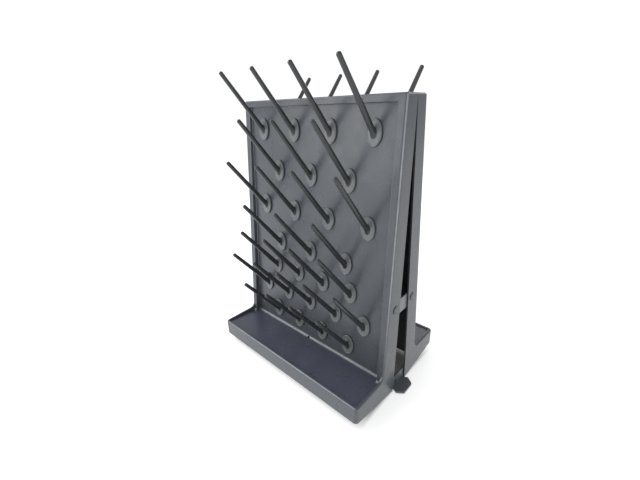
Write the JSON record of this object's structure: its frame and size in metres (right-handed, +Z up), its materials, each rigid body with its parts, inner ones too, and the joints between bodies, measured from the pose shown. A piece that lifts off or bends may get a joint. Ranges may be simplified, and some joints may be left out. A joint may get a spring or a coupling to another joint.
{
  "type": "bottle drying rack",
  "caption": "Double-sided bench-top A-frame pegboard rack with pull-out angled pegs and drip trays for draining bottles and glassware.",
  "frame": {"origin": "on the bench, under the middle of the rack", "axes": "X along the rack's width, -Y out of the front board, +Z up"},
  "size_m": [0.506, 0.336, 0.6857],
  "materials": {
    "housing": "satin, fine moulded texture",
    "peg": "satin",
    "link": "smooth",
    "foot": "matt"
  },
  "bodies": {
    "frame": {"front_board": "housing", "back_board": "housing", "right_link_bar": "link", "left_link_bar": "link", "right_foot_bracket": "foot", "left_foot_bracket": "foot"},
    "front_peg_1_1": {"front_peg_1_1": "peg"},
    "front_peg_1_2": {"front_peg_1_2": "peg"},
    "front_peg_1_3": {"front_peg_1_3": "peg"},
    "front_peg_1_4": {"front_peg_1_4": "peg"},
    "front_peg_2_1": {"front_peg_2_1": "peg"},
    "front_peg_2_2": {"front_peg_2_2": "peg"},
    "front_peg_2_3": {"front_peg_2_3": "peg"},
    "front_peg_3_1": {"front_peg_3_1": "peg"},
    "front_peg_3_2": {"front_peg_3_2": "peg"},
    "front_peg_3_3": {"front_peg_3_3": "peg"},
    "front_peg_3_4": {"front_peg_3_4": "peg"},
    "front_peg_4_1": {"front_peg_4_1": "peg"},
    "front_peg_4_2": {"front_peg_4_2": "peg"},
    "front_peg_4_3": {"front_peg_4_3": "peg"},
    "front_peg_5_1": {"front_peg_5_1": "peg"},
    "front_peg_5_2": {"front_peg_5_2": "peg"},
    "front_peg_5_3": {"front_peg_5_3": "peg"},
    "front_peg_5_4": {"front_peg_5_4": "peg"},
    "front_peg_6_1": {"front_peg_6_1": "peg"},
    "front_peg_6_2": {"front_peg_6_2": "peg"},
    "front_peg_6_3": {"front_peg_6_3": "peg"},
    "front_peg_6_4": {"front_peg_6_4": "peg"},
    "front_peg_6_5": {"front_peg_6_5": "peg"},
    "front_peg_7_1": {"front_peg_7_1": "peg"},
    "front_peg_7_2": {"front_peg_7_2": "peg"},
    "front_peg_7_3": {"front_peg_7_3": "peg"},
    "front_peg_7_4": {"front_peg_7_4": "peg"},
    "back_peg_1_1": {"back_peg_1_1": "peg"},
    "back_peg_1_2": {"back_peg_1_2": "peg"},
    "back_peg_1_3": {"back_peg_1_3": "peg"},
    "back_peg_1_4": {"back_peg_1_4": "peg"},
    "back_peg_2_1": {"back_peg_2_1": "peg"},
    "back_peg_2_2": {"back_peg_2_2": "peg"},
    "back_peg_2_3": {"back_peg_2_3": "peg"},
    "back_peg_3_1": {"back_peg_3_1": "peg"},
    "back_peg_3_2": {"back_peg_3_2": "peg"},
    "back_peg_3_3": {"back_peg_3_3": "peg"},
    "back_peg_3_4": {"back_peg_3_4": "peg"},
    "back_peg_4_1": {"back_peg_4_1": "peg"},
    "back_peg_4_2": {"back_peg_4_2": "peg"},
    "back_peg_4_3": {"back_peg_4_3": "peg"},
    "back_peg_5_1": {"back_peg_5_1": "peg"},
    "back_peg_5_2": {"back_peg_5_2": "peg"},
    "back_peg_5_3": {"back_peg_5_3": "peg"},
    "back_peg_5_4": {"back_peg_5_4": "peg"},
    "back_peg_6_1": {"back_peg_6_1": "peg"},
    "back_peg_6_2": {"back_peg_6_2": "peg"},
    "back_peg_6_3": {"back_peg_6_3": "peg"},
    "back_peg_6_4": {"back_peg_6_4": "peg"},
    "back_peg_6_5": {"back_peg_6_5": "peg"},
    "back_peg_7_1": {"back_peg_7_1": "peg"},
    "back_peg_7_2": {"back_peg_7_2": "peg"},
    "back_peg_7_3": {"back_peg_7_3": "peg"},
    "back_peg_7_4": {"back_peg_7_4": "peg"}
  },
  "joints": [
    {"name": "front_peg_1_1_pull", "type": "slide", "parent": "frame", "child": "front_peg_1_1", "axis": [0, -0.9984, 0.0559], "range_m": [0, 0.03]},
    {"name": "front_peg_1_2_pull", "type": "slide", "parent": "frame", "child": "front_peg_1_2", "axis": [0, -0.9984, 0.0559], "range_m": [0, 0.03]},
    {"name": "front_peg_1_3_pull", "type": "slide", "parent": "frame", "child": "front_peg_1_3", "axis": [0, -0.9984, 0.0559], "range_m": [0, 0.03]},
    {"name": "front_peg_1_4_pull", "type": "slide", "parent": "frame", "child": "front_peg_1_4", "axis": [0, -0.9984, 0.0559], "range_m": [0, 0.03]},
    {"name": "front_peg_2_1_pull", "type": "slide", "parent": "frame", "child": "front_peg_2_1", "axis": [0, -0.9984, 0.0559], "range_m": [0, 0.03]},
    {"name": "front_peg_2_2_pull", "type": "slide", "parent": "frame", "child": "front_peg_2_2", "axis": [0, -0.9984, 0.0559], "range_m": [0, 0.03]},
    {"name": "front_peg_2_3_pull", "type": "slide", "parent": "frame", "child": "front_peg_2_3", "axis": [0, -0.9984, 0.0559], "range_m": [0, 0.03]},
    {"name": "front_peg_3_1_pull", "type": "slide", "parent": "frame", "child": "front_peg_3_1", "axis": [0, -0.9984, 0.0559], "range_m": [0, 0.03]},
    {"name": "front_peg_3_2_pull", "type": "slide", "parent": "frame", "child": "front_peg_3_2", "axis": [0, -0.9984, 0.0559], "range_m": [0, 0.03]},
    {"name": "front_peg_3_3_pull", "type": "slide", "parent": "frame", "child": "front_peg_3_3", "axis": [0, -0.9984, 0.0559], "range_m": [0, 0.03]},
    {"name": "front_peg_3_4_pull", "type": "slide", "parent": "frame", "child": "front_peg_3_4", "axis": [0, -0.9984, 0.0559], "range_m": [0, 0.03]},
    {"name": "front_peg_4_1_pull", "type": "slide", "parent": "frame", "child": "front_peg_4_1", "axis": [0, -0.9984, 0.0559], "range_m": [0, 0.03]},
    {"name": "front_peg_4_2_pull", "type": "slide", "parent": "frame", "child": "front_peg_4_2", "axis": [0, -0.9984, 0.0559], "range_m": [0, 0.03]},
    {"name": "front_peg_4_3_pull", "type": "slide", "parent": "frame", "child": "front_peg_4_3", "axis": [0, -0.9984, 0.0559], "range_m": [0, 0.03]},
    {"name": "front_peg_5_1_pull", "type": "slide", "parent": "frame", "child": "front_peg_5_1", "axis": [0, -0.9984, 0.0559], "range_m": [0, 0.03]},
    {"name": "front_peg_5_2_pull", "type": "slide", "parent": "frame", "child": "front_peg_5_2", "axis": [0, -0.9984, 0.0559], "range_m": [0, 0.03]},
    {"name": "front_peg_5_3_pull", "type": "slide", "parent": "frame", "child": "front_peg_5_3", "axis": [0, -0.9984, 0.0559], "range_m": [0, 0.03]},
    {"name": "front_peg_5_4_pull", "type": "slide", "parent": "frame", "child": "front_peg_5_4", "axis": [0, -0.9984, 0.0559], "range_m": [0, 0.03]},
    {"name": "front_peg_6_1_pull", "type": "slide", "parent": "frame", "child": "front_peg_6_1", "axis": [0, -0.9984, 0.0559], "range_m": [0, 0.03]},
    {"name": "front_peg_6_2_pull", "type": "slide", "parent": "frame", "child": "front_peg_6_2", "axis": [0, -0.9984, 0.0559], "range_m": [0, 0.03]},
    {"name": "front_peg_6_3_pull", "type": "slide", "parent": "frame", "child": "front_peg_6_3", "axis": [0, -0.9984, 0.0559], "range_m": [0, 0.03]},
    {"name": "front_peg_6_4_pull", "type": "slide", "parent": "frame", "child": "front_peg_6_4", "axis": [0, -0.9984, 0.0559], "range_m": [0, 0.03]},
    {"name": "front_peg_6_5_pull", "type": "slide", "parent": "frame", "child": "front_peg_6_5", "axis": [0, -0.9984, 0.0559], "range_m": [0, 0.03]},
    {"name": "front_peg_7_1_pull", "type": "slide", "parent": "frame", "child": "front_peg_7_1", "axis": [0, -0.9984, 0.0559], "range_m": [0, 0.03]},
    {"name": "front_peg_7_2_pull", "type": "slide", "parent": "frame", "child": "front_peg_7_2", "axis": [0, -0.9984, 0.0559], "range_m": [0, 0.03]},
    {"name": "front_peg_7_3_pull", "type": "slide", "parent": "frame", "child": "front_peg_7_3", "axis": [0, -0.9984, 0.0559], "range_m": [0, 0.03]},
    {"name": "front_peg_7_4_pull", "type": "slide", "parent": "frame", "child": "front_peg_7_4", "axis": [0, -0.9984, 0.0559], "range_m": [0, 0.03]},
    {"name": "back_peg_1_1_pull", "type": "slide", "parent": "frame", "child": "back_peg_1_1", "axis": [0, 0.9984, 0.0559], "range_m": [0, 0.03]},
    {"name": "back_peg_1_2_pull", "type": "slide", "parent": "frame", "child": "back_peg_1_2", "axis": [0, 0.9984, 0.0559], "range_m": [0, 0.03]},
    {"name": "back_peg_1_3_pull", "type": "slide", "parent": "frame", "child": "back_peg_1_3", "axis": [0, 0.9984, 0.0559], "range_m": [0, 0.03]},
    {"name": "back_peg_1_4_pull", "type": "slide", "parent": "frame", "child": "back_peg_1_4", "axis": [0, 0.9984, 0.0559], "range_m": [0, 0.03]},
    {"name": "back_peg_2_1_pull", "type": "slide", "parent": "frame", "child": "back_peg_2_1", "axis": [0, 0.9984, 0.0559], "range_m": [0, 0.03]},
    {"name": "back_peg_2_2_pull", "type": "slide", "parent": "frame", "child": "back_peg_2_2", "axis": [0, 0.9984, 0.0559], "range_m": [0, 0.03]},
    {"name": "back_peg_2_3_pull", "type": "slide", "parent": "frame", "child": "back_peg_2_3", "axis": [0, 0.9984, 0.0559], "range_m": [0, 0.03]},
    {"name": "back_peg_3_1_pull", "type": "slide", "parent": "frame", "child": "back_peg_3_1", "axis": [0, 0.9984, 0.0559], "range_m": [0, 0.03]},
    {"name": "back_peg_3_2_pull", "type": "slide", "parent": "frame", "child": "back_peg_3_2", "axis": [0, 0.9984, 0.0559], "range_m": [0, 0.03]},
    {"name": "back_peg_3_3_pull", "type": "slide", "parent": "frame", "child": "back_peg_3_3", "axis": [0, 0.9984, 0.0559], "range_m": [0, 0.03]},
    {"name": "back_peg_3_4_pull", "type": "slide", "parent": "frame", "child": "back_peg_3_4", "axis": [0, 0.9984, 0.0559], "range_m": [0, 0.03]},
    {"name": "back_peg_4_1_pull", "type": "slide", "parent": "frame", "child": "back_peg_4_1", "axis": [0, 0.9984, 0.0559], "range_m": [0, 0.03]},
    {"name": "back_peg_4_2_pull", "type": "slide", "parent": "frame", "child": "back_peg_4_2", "axis": [0, 0.9984, 0.0559], "range_m": [0, 0.03]},
    {"name": "back_peg_4_3_pull", "type": "slide", "parent": "frame", "child": "back_peg_4_3", "axis": [0, 0.9984, 0.0559], "range_m": [0, 0.03]},
    {"name": "back_peg_5_1_pull", "type": "slide", "parent": "frame", "child": "back_peg_5_1", "axis": [0, 0.9984, 0.0559], "range_m": [0, 0.03]},
    {"name": "back_peg_5_2_pull", "type": "slide", "parent": "frame", "child": "back_peg_5_2", "axis": [0, 0.9984, 0.0559], "range_m": [0, 0.03]},
    {"name": "back_peg_5_3_pull", "type": "slide", "parent": "frame", "child": "back_peg_5_3", "axis": [0, 0.9984, 0.0559], "range_m": [0, 0.03]},
    {"name": "back_peg_5_4_pull", "type": "slide", "parent": "frame", "child": "back_peg_5_4", "axis": [0, 0.9984, 0.0559], "range_m": [0, 0.03]},
    {"name": "back_peg_6_1_pull", "type": "slide", "parent": "frame", "child": "back_peg_6_1", "axis": [0, 0.9984, 0.0559], "range_m": [0, 0.03]},
    {"name": "back_peg_6_2_pull", "type": "slide", "parent": "frame", "child": "back_peg_6_2", "axis": [0, 0.9984, 0.0559], "range_m": [0, 0.03]},
    {"name": "back_peg_6_3_pull", "type": "slide", "parent": "frame", "child": "back_peg_6_3", "axis": [0, 0.9984, 0.0559], "range_m": [0, 0.03]},
    {"name": "back_peg_6_4_pull", "type": "slide", "parent": "frame", "child": "back_peg_6_4", "axis": [0, 0.9984, 0.0559], "range_m": [0, 0.03]},
    {"name": "back_peg_6_5_pull", "type": "slide", "parent": "frame", "child": "back_peg_6_5", "axis": [0, 0.9984, 0.0559], "range_m": [0, 0.03]},
    {"name": "back_peg_7_1_pull", "type": "slide", "parent": "frame", "child": "back_peg_7_1", "axis": [0, 0.9984, 0.0559], "range_m": [0, 0.03]},
    {"name": "back_peg_7_2_pull", "type": "slide", "parent": "frame", "child": "back_peg_7_2", "axis": [0, 0.9984, 0.0559], "range_m": [0, 0.03]},
    {"name": "back_peg_7_3_pull", "type": "slide", "parent": "frame", "child": "back_peg_7_3", "axis": [0, 0.9984, 0.0559], "range_m": [0, 0.03]},
    {"name": "back_peg_7_4_pull", "type": "slide", "parent": "frame", "child": "back_peg_7_4", "axis": [0, 0.9984, 0.0559], "range_m": [0, 0.03]}
  ]
}
